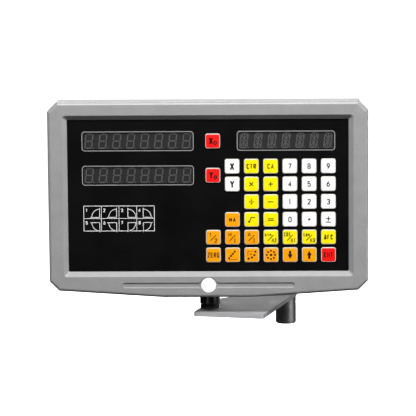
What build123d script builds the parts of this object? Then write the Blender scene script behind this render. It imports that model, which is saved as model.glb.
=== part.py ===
from build123d import *

import os
from math import cos, radians, sin

# Two-axis digital readout console on the end of its swivel arm. Millimetres, +Z up, the keys face -Y.
# The origin is on the post's axis, at the face of the machine's own arm that its spigot drops into.

# --- keys and windows, which set the size of the face ---
key_size = 13.7
key_gap_x = 4.19
key_gap_z = 2.98
key_columns = 7
key_rows = 6
key_corner = 2.0
key_proud = 1.5
key_travel = 1.0
key_edge_round = 0.5
key_flange = 0.7
key_flange_thickness = 1.2
key_stem_radius = 2.5
key_stem_length = 0.8

window_width = 105.3
window_height = 19.4
message_width = 92.2
window_corner = 2.6
window_thickness = 2.0

margin_left = 13.1
margin_right = 12.1
margin_top = 10.6
margin_bottom = 8.65
window_to_keys = 10.45
window_to_rows = 7.25

# --- front bezel casting ---
side_border = 13.65
top_border = 12.35
bottom_border = 19.75
bevel_width = 4.4
bevel_depth = 4.2
lip_depth = 5.0
bezel_depth = 24.0
bezel_wall = 4.0
bezel_edge_round = 3.2
opening_corner = 1.2
mouth_corner = 3.0
corner_cut = 9.0
keel_half = 42.5
keel_rise = 6.4
groove_half = 80.6
groove_width = 5.2
groove_depth = 1.2
groove_height = 11.6
groove_slope = 40.0
groove_flare = 3.0
badge_radius = 7.05
badge_thickness = 1.4
badge_well_radius = 8.3
boss_radius = 4.8
boss_inset = 8.4

# --- face panel and electronics ---
panel_thickness = 2.5
panel_overlap = 2.8
board_thickness = 1.6
board_margin = 2.0
board_depth = 16.6
switch_size = 6.0
switch_body = 4.3
plunger_radius = 1.75
display_margin = 2.2
pillar_radius = 3.0
supply_width = 96.0
supply_height = 62.0
supply_stand_off = 5.0
supply_block = 12.0
supply_room = 3.0

# --- rear cover ---
gasket_thickness = 1.0
gasket_inset = 1.4
cover_inset = 1.0
cover_flange = 3.0
cover_wall = 2.5
pan_side_inset = 16.0
head_room = 1.0
pan_depth = 24.0
pan_corner = 9.0
pan_draft = 4.0
rib_height = 1.2
rib_width = 3.0
rib_count = 4
rib_pitch = 12.0
screw_radius = 2.0
screw_head_radius = 3.6
screw_head_height = 3.0
screw_length = 16.0
screw_socket_radius = 1.5
screw_socket_depth = 1.8

# --- connectors on the rear ---
inlet_x = 92.0
inlet_z = 62.0
inlet_width = 27.4
inlet_height = 47.4
inlet_flange = 2.2
inlet_flange_thickness = 2.5
inlet_body_depth = 18.5
socket_width = 24.5
socket_height = 16.5
socket_corner = 3.0
socket_depth = 16.0
socket_drop = 11.5
blade_length = 10.0
blade_thickness = 2.0
blade_width = 4.0
blade_spread = 7.0
rocker_width = 14.0
rocker_height = 18.4
rocker_rise = 12.5
rocker_angle = 7.0
rocker_gap = 0.9
rocker_pocket_depth = 9.5
rocker_pivot_depth = 4.5
rocker_pin_radius = 1.2
scale_socket_xs = (-48.0, -92.0)
scale_socket_z = 58.0
scale_flange_width = 31.0
scale_flange_height = 12.6
scale_shell_width = 16.6
scale_shell_height = 8.2
scale_shell_length = 6.0
scale_body_depth = 9.0

# --- tilt head ---
tilt_height = 20.0
tilt_setback = 10.0
lug_width = 10.0
lug_radius = 6.5
ear_thickness = 3.5
ear_radius = 6.8
foot_thickness = 2.5
foot_nose = 11.0
tilt_screw_radius = 3.0
tilt_screw_reach = 4.0
tilt_head_radius = 5.0
tilt_head_height = 4.0
tilt_socket_radius = 2.5
tilt_socket_depth = 2.2

# --- clamp knob ---
knob_setback = 42.0
knob_lobes = 6
knob_core_radius = 7.3
knob_lobe_radius = 2.65
knob_lobe_circle = 6.75
knob_head_height = 14.5
knob_collar_radius = 6.6
knob_collar_height = 0.8
knob_edge_round = 1.0
stud_radius = 3.0
stud_below = 3.0

# --- arm and post ---
arm_angle = 13.7
clamp_reach = 101.5
clamp_offset = 49.4
arm_nose = 32.0
arm_width = 68.0
arm_thickness = 4.0
arm_corner = 3.0
arm_taper_start = 62.0
arm_bend_radius = 20.0
arm_clearance = 16.0
hub_radius = 11.0
hub_height = 8.0
post_radius = 10.0
post_neck = 6.0
spigot_length = 21.0
mark_width = 0.8
mark_depth = 0.4
post_chamfer = 1.0
journal_radius = 6.0
thread_radius = 5.0
nut_across_flats = 17.0
nut_height = 8.0
nut_flange_radius = 10.5
nut_flange_thickness = 2.0
thread_proud = 2.5

# --- clearances ---
slide_gap = 0.25
face_gap = 0.2
running_gap = 0.05
seat_gap = 0.05
stop_gap = 0.3

# --- sizes worked out from the values above ---
key_pitch_x = key_size + key_gap_x
key_pitch_z = key_size + key_gap_z
keys_width = key_columns * key_size + (key_columns - 1) * key_gap_x
keys_height = key_rows * key_size + (key_rows - 1) * key_gap_z
panel_width = margin_left + window_width + window_to_keys + keys_width + margin_right
panel_height = margin_top + window_height + window_to_rows + keys_height + margin_bottom
console_width = panel_width + 2 * (bevel_width + side_border)
console_height = bottom_border + panel_height + top_border + 2 * bevel_width
panel_low = bottom_border + bevel_width
panel_middle = panel_low + panel_height / 2
keys_left = panel_width / 2 - margin_right - keys_width
first_column = keys_left + key_size / 2
window_z = panel_low + panel_height - margin_top - window_height / 2
first_row = window_z - window_height / 2 - window_to_rows - key_size / 2
second_window_z = first_row - key_pitch_z / 2
window_x = margin_left + window_width / 2 - panel_width / 2
message_x = keys_left + keys_width - message_width / 2

panel_back = lip_depth + panel_thickness
board_front = board_depth
plunger_front = panel_back + key_flange_thickness + key_stem_length + key_travel + 2 * stop_gap
cover_front = bezel_depth + gasket_thickness
pan_front = cover_front + cover_flange
pan_back = pan_front + pan_depth
pan_edge_inset = boss_inset + screw_head_radius + head_room
pan_width = console_width - 2 * pan_side_inset
pan_height = console_height - 2 * pan_edge_inset
pan_middle = console_height / 2
supply_z = scale_socket_z + scale_shell_height / 2 + supply_room + supply_height / 2
tilt_depth = pan_back + tilt_setback
ear_inner = lug_width / 2 + stop_gap
ear_outer = ear_inner + ear_thickness

arm_low = post_neck + face_gap
arm_top = arm_low + arm_thickness
console_z = arm_top + arm_clearance
foot_low = face_gap - arm_clearance
foot_top = foot_low + foot_thickness
console_x = -clamp_reach * sin(radians(arm_angle)) - clamp_offset * cos(radians(arm_angle))
knob_y = -clamp_reach * cos(radians(arm_angle)) + clamp_offset * sin(radians(arm_angle))
face_y = knob_y - knob_setback

# Console pieces are drawn with x from the middle, y back from the bezel's face and z up from its lowest edge.
at_console = Pos(console_x, face_y, console_z)

# Legend rows: the column each row starts at, and the keys along it.
key_layout = (
    (1, ("x", "ctr", "ca", "7", "8", "9")),
    (1, ("y", "multiply", "add", "4", "5", "6")),
    (2, ("divide", "subtract", "1", "2", "3")),
    (1, ("ha", "root", "equals", "0", "point", "sign")),
    (0, ("half", "units", "mode", "sine", "cosine", "tangent", "arc")),
    (0, ("zero", "slant_holes", "curve", "bolt_circle", "down", "up", "enter")),
)


def slab(outline, front, depth):
    """A front-view outline, drawn in X and Z, carried back from y = front."""
    return Pos(0, front, 0) * extrude(Plane.XZ * outline, amount=-depth)


def rounded(width, height, corner, x=0.0, z=0.0):
    """A round-cornered rectangle about (x, z)."""
    return Pos(x, z) * RectangleRounded(width, height, corner)


def rod_y(radius, front, depth, x=0.0, z=0.0):
    """A round bar along Y."""
    return slab(Pos(x, z) * Circle(radius), front, depth)


def rod_x(radius, left, length, y, z):
    """A round bar along X."""
    return Pos(left, y, z) * extrude(Plane.YZ * Circle(radius), amount=length)


def rod_z(radius, low, height, x=0.0, y=0.0):
    """A round bar along Z."""
    return Pos(x, y, low) * extrude(Circle(radius), amount=height)


def key_places():
    """Each key's name with the x and z of its middle."""
    places = {}
    for row, (start, names) in enumerate(key_layout):
        for step, name in enumerate(names):
            x = first_column + (start + step) * key_pitch_x
            places["key_" + name] = (x, first_row - row * key_pitch_z)
    places["key_x_clear"] = (first_column, window_z)
    places["key_y_clear"] = (first_column, second_window_z)
    return places


def window_places():
    """The width, x and z of the three display windows."""
    return (
        (window_width, window_x, window_z),
        (window_width, window_x, second_window_z),
        (message_width, message_x, window_z),
    )


def console_outline(inset=0.0):
    """The console from the front: cut corners, and a bottom that falls to a flat middle."""
    half = console_width / 2
    side = (
        (keel_half, 0),
        (half - corner_cut, keel_rise),
        (half, keel_rise + corner_cut),
        (half, console_height - corner_cut),
        (half - corner_cut, console_height),
    )
    other = tuple((-x, z) for x, z in reversed(side))
    outline = make_face(Polyline(*side, *other, close=True))
    if inset:
        outline = offset(outline, amount=-inset, kind=Kind.INTERSECTION)
    return outline


def screw_places():
    """The x and z of the cover screws: near the corners, halfway along the top and by the keel."""
    x = console_width / 2 - boss_inset
    high = console_height - corner_cut - boss_inset
    low = keel_rise + corner_cut + boss_inset
    top = console_height - boss_inset
    bottom = boss_inset
    sides = [(s * x, z) for s in (-1, 1) for z in (low, high)]
    return sides + [(0, top), (-keel_half - corner_cut, bottom), (keel_half + corner_cut, bottom)]


def bevelled_opening():
    """The cutter for the bezel's opening: its sloped inner edge, then a straight lip."""
    mouth_width = panel_width + 2 * bevel_width
    mouth_height = panel_height + 2 * bevel_width
    wide = rounded(mouth_width, mouth_height, mouth_corner)
    narrow = rounded(panel_width, panel_height, opening_corner)
    front = Pos(0, 0, panel_middle) * (Plane.XZ * wide)
    back = Pos(0, bevel_depth, panel_middle) * (Plane.XZ * narrow)
    slope = loft(Sketch() + [front, back])
    return slope + Pos(0, 0, panel_middle) * slab(narrow, bevel_depth, bezel_depth)


def groove_cutter():
    """The long shallow groove of the lower bezel, flared into the round well of the badge in its middle."""
    outline = Pos(0, groove_height) * SlotOverall(2 * groove_half, groove_width)
    outline += Pos(0, groove_height) * Circle(badge_well_radius)
    meetings = outline.vertices().filter_by(lambda point: abs(point.X) < groove_half / 2)
    outline = fillet(meetings, groove_flare)
    return extrude(Plane.XZ * outline, amount=-groove_depth, taper=groove_slope)


def front_bezel():
    """The die-cast front frame, hollow behind, with a boss for each cover screw."""
    bezel = slab(console_outline(), 0, bezel_depth)
    bezel = fillet(bezel.faces().sort_by(Axis.Y)[0].outer_wire().edges(), bezel_edge_round)
    bezel -= bevelled_opening()
    pocket = slab(console_outline(bezel_wall), lip_depth, bezel_depth)
    for x, z in screw_places():
        pocket -= rod_y(boss_radius, lip_depth, bezel_depth, x, z)
    panel_room = rounded(
        panel_width + 2 * (panel_overlap + seat_gap),
        panel_height + 2 * (panel_overlap + seat_gap),
        opening_corner,
    )
    pocket += Pos(0, 0, panel_middle) * slab(panel_room, lip_depth, bezel_depth)
    bezel -= pocket
    bezel -= groove_cutter()
    for x, z in screw_places():
        bezel -= rod_y(screw_radius, bezel_depth - screw_length, screw_length, x, z)
    return bezel


def badge_disc():
    """The plain disc set in the middle of the lower bezel."""
    disc = rod_y(badge_radius, groove_depth - badge_thickness, badge_thickness, 0, groove_height)
    return fillet(disc.edges().group_by(Axis.Y)[0], 0.15 * badge_thickness)


def pillar_places():
    """Where the board stands on the panel: clear of the keys and windows."""
    left = margin_left / 2 - panel_width / 2
    right = panel_width / 2 - margin_right / 2
    low = panel_low + panel_height / 4
    high = panel_low + panel_height * 3 / 4
    middle = keys_left - window_to_keys / 2
    return ((left, low), (left, high), (middle, low), (right, low), (right, high))


def face_panel():
    """The black face: windows and key holes cut through, pillars for the board behind."""
    width = panel_width + 2 * panel_overlap
    height = panel_height + 2 * panel_overlap
    panel = slab(rounded(width, height, opening_corner, 0, panel_middle), lip_depth, panel_thickness)
    for span, x, z in window_places():
        hole = rounded(span + 2 * seat_gap, window_height + 2 * seat_gap, window_corner, x, z)
        panel -= slab(hole, lip_depth, panel_thickness)
    hole_size = key_size + 2 * slide_gap
    for x, z in key_places().values():
        panel -= slab(rounded(hole_size, hole_size, key_corner + slide_gap, x, z), lip_depth, panel_thickness)
    for x, z in pillar_places():
        panel += rod_y(pillar_radius, panel_back, board_front - panel_back, x, z)
    return panel


def display_windows():
    """The three smoked windows, flush with the face."""
    panes = []
    for span, x, z in window_places():
        panes.append(slab(rounded(span, window_height, window_corner, x, z), lip_depth, window_thickness))
    return Compound(children=panes)


def display_module(span, x, z):
    """One segment display: a block between its window and the board."""
    width = span - 2 * display_margin
    height = window_height - 2 * display_margin
    front = lip_depth + window_thickness
    return slab(Pos(x, z) * Rectangle(width, height), front, board_front - front)


def main_board():
    """The circuit board that carries the displays and the key switches."""
    width = panel_width - 2 * board_margin
    height = panel_height - 2 * board_margin
    return slab(rounded(width, height, opening_corner, 0, panel_middle), board_front, board_thickness)


def key_switches():
    """A small press switch on the board behind every key."""
    switches = []
    body_front = board_front - switch_body
    for x, z in key_places().values():
        body = slab(Pos(x, z) * Rectangle(switch_size, switch_size), body_front, switch_body)
        switches.append(body + rod_y(plunger_radius, plunger_front, body_front - plunger_front, x, z))
    return Compound(children=switches)


def key_cap(x, z):
    """One key: a raised cap, a flange that keeps it behind the panel, and a stem."""
    front = lip_depth - key_proud
    flange_front = panel_back + stop_gap
    flange_size = key_size + 2 * (slide_gap + key_flange)
    cap = slab(rounded(key_size, key_size, key_corner, x, z), front, flange_front - front)
    cap = fillet(cap.edges().group_by(Axis.Y)[0], key_edge_round)
    cap += slab(rounded(flange_size, flange_size, key_corner, x, z), flange_front, key_flange_thickness)
    cap += rod_y(key_stem_radius, flange_front + key_flange_thickness, key_stem_length, x, z)
    return cap


def cover_gasket():
    """The flat seal between the bezel and the rear cover."""
    ring = console_outline(gasket_inset) - console_outline(bezel_wall)
    for x, z in screw_places():
        ring += Pos(x, z) * Circle(boss_radius)
    ring = ring & console_outline(gasket_inset)
    for x, z in screw_places():
        ring -= Pos(x, z) * Circle(screw_radius + seat_gap)
    return slab(ring, bezel_depth, gasket_thickness)


def pan(inset, front, depth):
    """The raised, drafted middle of the rear cover, or the hollow inside it."""
    outline = rounded(pan_width - 2 * inset, pan_height - 2 * inset, pan_corner, 0, pan_middle)
    return Pos(0, front, 0) * extrude(Plane.XZ * outline, amount=-depth, taper=pan_draft)


def tilt_lug():
    """The lug behind the cover that the tilt screws turn in."""
    root = tilt_depth - pan_back
    block = Pos(0, pan_back + root / 2, tilt_height) * Box(lug_width, root, 2 * lug_radius)
    block += rod_x(lug_radius, -lug_width / 2, lug_width, tilt_depth, tilt_height)
    return block


def connector_holes():
    """The cutters for the mains inlet and the two scale sockets."""
    depth = 3 * cover_wall
    front = pan_back - depth / 2
    inlet = rounded(inlet_width + 2 * seat_gap, inlet_height + 2 * seat_gap, 1, inlet_x, inlet_z)
    holes = slab(inlet, front, depth)
    for x in scale_socket_xs:
        width = scale_shell_width + 2 * seat_gap
        height = scale_shell_height + 2 * seat_gap
        holes += slab(rounded(width, height, 1.5, x, scale_socket_z), front, depth)
    return holes


def cover_ribs():
    """The raised ribs across the upper back."""
    ribs = []
    high = pan_middle + pan_height / 2 - 2 * pan_corner
    for step in range(rib_count):
        rib = Pos(0, high - step * rib_pitch) * SlotOverall(pan_width - 6 * pan_corner, rib_width)
        ribs.append(slab(rib, pan_back - cover_wall / 2, cover_wall / 2 + rib_height))
    return ribs


def supply_places():
    """The x and z of the pillars under the power supply's board."""
    x = supply_width / 2 - 2 * pillar_radius
    z = supply_height / 2 - 2 * pillar_radius
    return [(sx * x, supply_z + sz * z) for sx in (-1, 1) for sz in (-1, 1)]


def rear_cover():
    """The cast rear cover: a flange round its edge, a hollow raised middle, ribs and the tilt lug."""
    cover = slab(console_outline(cover_inset), cover_front, cover_flange)
    cover += pan(0, pan_front, pan_depth)
    cover += cover_ribs()
    cover += tilt_lug()
    cover -= pan(cover_wall, cover_front, cover_flange + pan_depth - cover_wall)
    inner_back = pan_back - cover_wall
    for x, z in supply_places():
        cover += rod_y(pillar_radius, inner_back - supply_stand_off, supply_stand_off, x, z)
    cover -= connector_holes()
    cover -= rod_x(tilt_screw_radius + running_gap, -lug_width, 2 * lug_width, tilt_depth, tilt_height)
    for x, z in screw_places():
        cover -= rod_y(screw_radius + seat_gap, cover_front, cover_flange, x, z)
    return cover


def power_supply():
    """The supply board on the cover's pillars, with its transformer, capacitors and heat sink."""
    back = pan_back - cover_wall - supply_stand_off
    front = back - board_thickness
    board = slab(Pos(0, supply_z) * Rectangle(supply_width, supply_height), front, board_thickness)
    left = -supply_width / 4
    transformer = Pos(left, supply_z) * Rectangle(supply_width / 3, supply_height / 2)
    board += slab(transformer, front - supply_block, supply_block)
    for step in range(3):
        x = supply_width * (0.1 + 0.14 * step)
        board += rod_y(supply_width / 20, front - supply_block, supply_block, x, supply_z)
    sink = Pos(-left, supply_z + supply_height / 3) * Rectangle(supply_width / 3, supply_width / 30)
    return board + slab(sink, front - supply_block, supply_block)


def power_inlet():
    """The mains inlet with its three blades, and the pocket of the switch above it."""
    front = pan_back - inlet_body_depth
    back = pan_back + inlet_flange_thickness
    plate = rounded(inlet_width + 2 * inlet_flange, inlet_height + 2 * inlet_flange, 2, inlet_x, inlet_z)
    body = rounded(inlet_width, inlet_height, 1, inlet_x, inlet_z)
    inlet = slab(body, front, inlet_body_depth) + slab(plate, pan_back, inlet_flange_thickness)
    socket_z = inlet_z - socket_drop
    mouth = rounded(socket_width, socket_height, socket_corner, inlet_x, socket_z)
    inlet -= slab(mouth, back - socket_depth, socket_depth)
    for step in (-1, 0, 1):
        x = inlet_x + step * blade_spread
        z = socket_z + (2 if step == 0 else -1) * blade_thickness
        blade = Pos(x, z) * Rectangle(blade_thickness, blade_width)
        inlet += slab(blade, back - socket_depth, blade_length)
    pocket = Pos(inlet_x, inlet_z + rocker_rise) * Rectangle(
        rocker_width + 2 * slide_gap, rocker_height + 2 * rocker_gap
    )
    inlet -= slab(pocket, back - rocker_pocket_depth, rocker_pocket_depth)
    pin_length = rocker_width + 4 * slide_gap + 2
    pin_y = back - rocker_pivot_depth
    inlet += rod_x(rocker_pin_radius, inlet_x - pin_length / 2, pin_length, pin_y, inlet_z + rocker_rise)
    return inlet


def power_switch():
    """The rocker: raised at both ends, turned to its off side."""
    half = rocker_height / 2
    profile = (
        (-half, 0),
        (-half, rocker_pivot_depth + 0.5),
        (0, rocker_pivot_depth - 1.1),
        (half, rocker_pivot_depth + 0.5),
        (half, 0),
        (half / 2, -3.3),
        (-half / 2, -3.3),
    )
    section = Plane.YZ * make_face(Polyline(*[(y, z) for z, y in profile], close=True))
    rocker = extrude(section, amount=rocker_width / 2, both=True)
    rocker -= rod_x(rocker_pin_radius + running_gap, -rocker_width, 2 * rocker_width, 0, 0)
    rocker = Rot(-rocker_angle, 0, 0) * rocker
    pivot_y = pan_back + inlet_flange_thickness - rocker_pivot_depth
    return Pos(inlet_x, pivot_y, inlet_z + rocker_rise) * rocker


def scale_sockets():
    """The two sockets for the axis scales: a flange, a shell behind it and a body inside."""
    sockets = []
    for x in scale_socket_xs:
        flange = rounded(scale_flange_width, scale_flange_height, 2, x, scale_socket_z)
        shell = rounded(scale_shell_width, scale_shell_height, 1.5, x, scale_socket_z)
        socket = slab(flange, pan_back, 1)
        socket += slab(shell, pan_back - scale_body_depth, scale_body_depth + 1 + scale_shell_length)
        sockets.append(socket)
    return Compound(children=sockets)


def cover_screws():
    """The cap screws that hold the cover to the bezel."""
    screws = []
    for x, z in screw_places():
        screw = rod_y(screw_radius, pan_front - screw_length, screw_length, x, z)
        screw += rod_y(screw_head_radius, pan_front, screw_head_height, x, z)
        socket_front = pan_front + screw_head_height - screw_socket_depth
        socket = Pos(x, z) * RegularPolygon(screw_socket_radius, 6)
        screw -= slab(socket, socket_front, screw_socket_depth)
        screws.append(screw)
    return Compound(children=screws)


def tilt_bracket():
    """The black fork: a foot on the arm under the knob, and two ears that hold the lug."""
    foot_back = tilt_depth + ear_radius
    foot_front = knob_setback - foot_nose
    foot_length = foot_back - foot_front
    middle = (foot_front + foot_back) / 2
    foot = Pos(0, middle, foot_low + foot_thickness / 2) * Box(2 * ear_outer, foot_length, foot_thickness)
    foot = fillet(foot.edges().filter_by(Axis.Z).group_by(Axis.Y)[0], 2 * ear_thickness)
    ear_height = tilt_height - foot_low
    for side in (-1, 1):
        x = side * (ear_inner + ear_thickness / 2)
        post = Pos(x, tilt_depth, foot_low + ear_height / 2) * Box(ear_thickness, 2 * ear_radius, ear_height)
        foot += post
        foot += rod_x(ear_radius, x - ear_thickness / 2, ear_thickness, tilt_depth, tilt_height)
    foot -= rod_x(tilt_screw_radius, -2 * ear_outer, 4 * ear_outer, tilt_depth, tilt_height)
    foot -= rod_z(stud_radius + slide_gap, foot_low, foot_thickness, 0, knob_setback)
    return foot


def tilt_screws():
    """The two shoulder screws that the console tilts on, one from each side."""
    screws = []
    inner = lug_width / 2 - tilt_screw_reach
    for side in (-1, 1):
        start = inner if side > 0 else -ear_outer
        screw = rod_x(tilt_screw_radius, start, ear_outer - inner, tilt_depth, tilt_height)
        head_start = ear_outer if side > 0 else -ear_outer - tilt_head_height
        screw += rod_x(tilt_head_radius, head_start, tilt_head_height, tilt_depth, tilt_height)
        socket_start = ear_outer + tilt_head_height - tilt_socket_depth
        if side < 0:
            socket_start = -ear_outer - tilt_head_height
        socket = Pos(socket_start, tilt_depth, tilt_height) * extrude(
            Plane.YZ * RegularPolygon(tilt_socket_radius, 6), amount=tilt_socket_depth
        )
        screws.append(screw - socket)
    return Compound(children=screws)


def clamp_knob():
    """The lobed knob over the foot, with the stud that screws into the arm."""
    star = Circle(knob_core_radius)
    for step in range(knob_lobes):
        lobe = Pos(knob_lobe_circle, 0) * Circle(knob_lobe_radius)
        star += Rot(0, 0, step * 360 / knob_lobes) * lobe
    collar_low = foot_top + face_gap
    head_low = collar_low + knob_collar_height
    head = extrude(star, amount=knob_head_height)
    head = fillet(head.edges().group_by(Axis.Z)[-1], knob_edge_round)
    knob = Pos(0, 0, head_low) * head
    knob += rod_z(knob_collar_radius, collar_low, knob_collar_height)
    stud_low = -arm_clearance - arm_thickness - stud_below
    knob += rod_z(stud_radius, stud_low, collar_low - stud_low)
    return Pos(0, knob_setback, 0) * knob


def arm_plate():
    """The flat arm: square at the nose, straight on one side and tapered on the other to the post's hub."""
    nose = clamp_reach + arm_nose
    blade = Rectangle(arm_width, nose - arm_taper_start)
    blade = Pos(hub_radius - arm_width / 2, -(nose + arm_taper_start) / 2) * blade
    plate = make_hull(blade.edges() + Circle(hub_radius).edges())
    plate = fillet(plate.vertices().group_by(Axis.Y)[0], arm_corner)
    bend = plate.vertices().group_by(Axis.X)[0].sort_by(Axis.Y)[-1]
    plate = fillet(bend, arm_bend_radius)
    arm = Pos(0, 0, arm_low) * extrude(plate, amount=arm_thickness)
    arm += rod_z(hub_radius, arm_top, hub_height)
    arm -= rod_z(journal_radius + running_gap, arm_low, arm_thickness + hub_height)
    arm -= rod_z(stud_radius + running_gap, arm_low, arm_thickness, -clamp_offset, -clamp_reach)
    return Rot(0, 0, -arm_angle) * arm


def pivot_post():
    """The post: a bar with a turned line at its spigot's depth, a journal for the hub and a threaded end."""
    post = rod_z(post_radius, -spigot_length, spigot_length + post_neck)
    post = chamfer(post.edges().group_by(Axis.Z)[0], post_chamfer)
    post -= rod_z(post_radius + 1, 0, mark_width) - rod_z(post_radius - mark_depth, 0, mark_width)
    hub_top = arm_top + hub_height
    thread_length = face_gap + nut_flange_thickness + nut_height + thread_proud
    post += rod_z(journal_radius, post_neck, hub_top - post_neck)
    post += chamfer(
        rod_z(thread_radius, hub_top, thread_length).edges().group_by(Axis.Z)[-1],
        post_chamfer,
    )
    return post


def pivot_nut():
    """The flanged nut that keeps the arm on its post."""
    low = arm_top + hub_height + face_gap
    nut = rod_z(nut_flange_radius, low, nut_flange_thickness)
    hexagon = RegularPolygon(nut_across_flats / 2, 6, major_radius=False)
    nut += Pos(0, 0, low + nut_flange_thickness) * extrude(hexagon, amount=nut_height)
    return nut - rod_z(thread_radius, low, nut_flange_thickness + nut_height)


def console_pieces():
    """Every piece that is drawn in the console's own place, by node name."""
    pieces = {
        "front_bezel": front_bezel(),
        "badge_disc": badge_disc(),
        "face_panel": face_panel(),
        "display_windows": display_windows(),
        "axis_displays": Compound(
            children=[display_module(window_width, window_x, z) for z in (window_z, second_window_z)]
        ),
        "message_display": display_module(message_width, message_x, window_z),
        "main_board": main_board(),
        "key_switches": key_switches(),
        "cover_gasket": cover_gasket(),
        "rear_cover": rear_cover(),
        "power_supply": power_supply(),
        "power_inlet": power_inlet(),
        "power_switch": power_switch(),
        "scale_sockets": scale_sockets(),
        "cover_screws": cover_screws(),
        "tilt_bracket": tilt_bracket(),
        "tilt_screws": tilt_screws(),
        "clamp_knob": clamp_knob(),
    }
    for name, (x, z) in key_places().items():
        pieces[name] = key_cap(x, z)
    return pieces


def main():
    """Write each node's own STEP file."""
    os.makedirs("parts", exist_ok=True)
    pieces = {name: at_console * piece for name, piece in console_pieces().items()}
    pieces["arm_plate"] = arm_plate()
    pieces["pivot_post"] = pivot_post()
    pieces["pivot_nut"] = pivot_nut()
    for name, piece in pieces.items():
        export_step(piece, "parts/" + name + ".step")


main()
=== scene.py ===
"""A milling machine's two-axis readout console on its arm: finishes, printed detail, light and camera."""

from __future__ import annotations

import logging
import math
from dataclasses import dataclass, field
from enum import Enum

import bpy
import numpy as np
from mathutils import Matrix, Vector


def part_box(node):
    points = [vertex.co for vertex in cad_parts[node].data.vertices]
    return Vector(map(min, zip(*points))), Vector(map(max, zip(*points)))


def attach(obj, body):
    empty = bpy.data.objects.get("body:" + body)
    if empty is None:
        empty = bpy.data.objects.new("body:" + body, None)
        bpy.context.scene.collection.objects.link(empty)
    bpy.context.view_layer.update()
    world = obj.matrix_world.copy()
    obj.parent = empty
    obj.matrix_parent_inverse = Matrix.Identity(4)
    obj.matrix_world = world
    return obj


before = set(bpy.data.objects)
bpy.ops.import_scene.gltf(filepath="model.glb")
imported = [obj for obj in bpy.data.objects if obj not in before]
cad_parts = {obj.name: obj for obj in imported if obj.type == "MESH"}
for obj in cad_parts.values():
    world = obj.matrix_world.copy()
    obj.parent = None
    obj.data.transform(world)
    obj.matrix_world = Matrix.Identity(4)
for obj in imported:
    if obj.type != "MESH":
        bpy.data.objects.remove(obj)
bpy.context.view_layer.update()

LOG = logging.getLogger("console")
MM = 0.001
PRINT_RISE = 0.12 * MM
ARC_STEPS = 24


# ---------------------------------------------------------------------------------------------------- shapes


def rounded_outline(width: float, height: float, corner: float, steps: int = 6) -> np.ndarray:
    """A round-cornered rectangle about the origin, anticlockwise.

    Each corner is a quarter circle of radius corner about a centre that lies corner inside both sides.

    Args:
        width: full width.
        height: full height.
        corner: corner radius.
        steps: straight pieces in each corner.

    Returns:
        An array of points, one row each, not repeated at the end.
    """
    turns = np.repeat(np.arange(4), steps + 1)
    angle = (turns + np.tile(np.linspace(0, 1, steps + 1), 4)) * math.pi / 2
    side_x = np.where((turns == 0) | (turns == 3), 1, -1) * (width / 2 - corner)
    side_z = np.where(turns < 2, 1, -1) * (height / 2 - corner)
    return np.stack([side_x + corner * np.cos(angle), side_z + corner * np.sin(angle)], axis=1)


def arc_points(radius: float, start: float, end: float, steps: int = ARC_STEPS) -> np.ndarray:
    """Points on a circle about the origin: radius times the cosine and sine of an evenly stepped angle.

    Args:
        radius: circle radius.
        start: first angle in degrees.
        end: last angle in degrees.
        steps: straight pieces.

    Returns:
        An array of points, one row each.
    """
    angle = np.radians(np.linspace(start, end, steps + 1))
    return radius * np.stack([np.cos(angle), np.sin(angle)], axis=1)


def disc_outline(radius: float, steps: int = 16) -> np.ndarray:
    """A full circle about the origin, its last point left out."""
    return arc_points(radius, 0, 360, steps)[:-1]


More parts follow.
